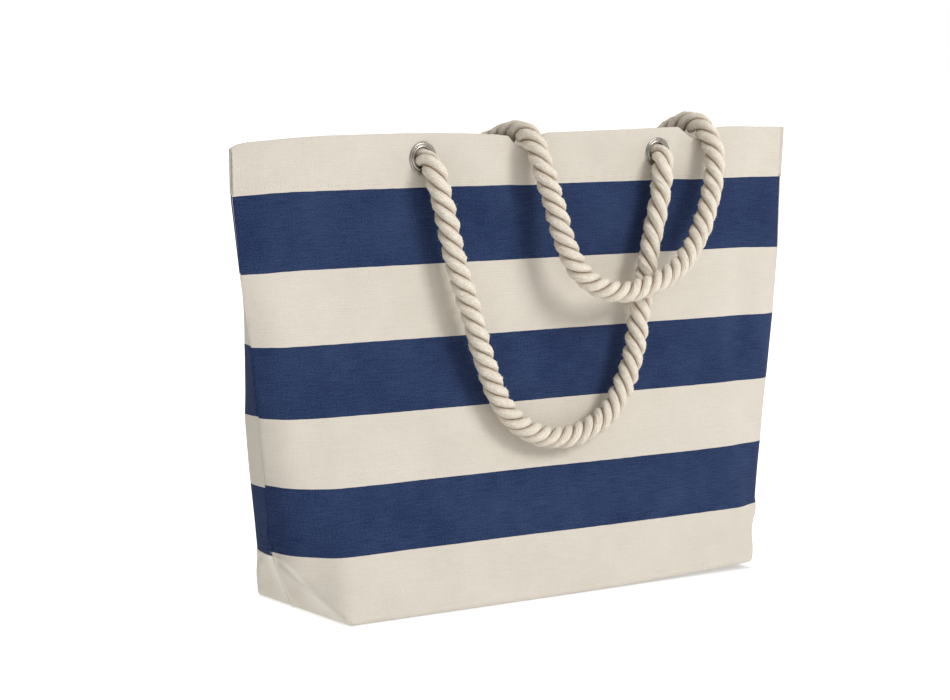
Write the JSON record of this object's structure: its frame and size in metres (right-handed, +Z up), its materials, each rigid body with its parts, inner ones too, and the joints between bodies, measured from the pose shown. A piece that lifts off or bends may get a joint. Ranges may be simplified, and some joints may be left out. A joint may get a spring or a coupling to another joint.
{
  "type": "beach bag",
  "caption": "Open striped canvas beach bag with a flat boxed base, metal eyelets round the mouth and thick twisted rope handles.",
  "frame": {"origin": "middle of the flat base, on the surface that the bag stands on", "axes": "+Z up, +X along the width of the mouth to the right of someone facing the front, -Y out of the front face, where both handles hang"},
  "size_m": [0.593, 0.1565, 0.4144],
  "materials": {
    "striped_canvas": "plain-weave cotton canvas, natural cream with three broad printed navy stripes",
    "plain_canvas": "plain-weave cotton canvas, natural cream, unprinted",
    "cotton_rope": "three-strand twisted cotton rope, soft and slightly fuzzy, natural cream",
    "nickel": "polished nickel-plated pressed metal",
    "twine": "waxed cotton twine, tightly wound"
  },
  "bodies": {
    "bag": {"front_panel": "striped_canvas", "back_panel": "striped_canvas", "front_hem": "plain_canvas", "back_hem": "plain_canvas", "left_side_seam": "plain_canvas", "right_side_seam": "plain_canvas", "base_seam": "plain_canvas", "left_corner_seam": "plain_canvas", "right_corner_seam": "plain_canvas", "front_left_eyelet": "nickel", "front_right_eyelet": "nickel", "rear_left_eyelet": "nickel", "rear_right_eyelet": "nickel", "front_left_washer": "nickel", "front_right_washer": "nickel", "rear_left_washer": "nickel", "rear_right_washer": "nickel", "front_left_rope_end": "cotton_rope", "front_right_rope_end": "cotton_rope", "rear_left_rope_end": "cotton_rope", "rear_right_rope_end": "cotton_rope", "front_left_knot": "cotton_rope", "front_right_knot": "cotton_rope", "rear_left_knot": "cotton_rope", "rear_right_knot": "cotton_rope", "rope_end_whippings": "twine", "rear_left_rope_neck": "cotton_rope", "rear_right_rope_neck": "cotton_rope"},
    "front_handle": {"front_rope_loop": "cotton_rope"},
    "rear_handle": {"rear_rope_loop": "cotton_rope"}
  },
  "joints": [
    {"name": "front_handle_lift", "type": "hinge", "parent": "bag", "child": "front_handle", "pos_m": [0.0115, -0.041, 0.379], "axis": [-1, 0, 0], "range_deg": [0, 170]},
    {"name": "rear_handle_lift", "type": "hinge", "parent": "bag", "child": "rear_handle", "pos_m": [0.093, -0.04, 0.389], "axis": [-1, 0, 0], "range_deg": [0, 170]}
  ],
  "couplings": [
    {"joint": "rear_handle_lift", "follows": "front_handle_lift", "ratio": 1}
  ]
}
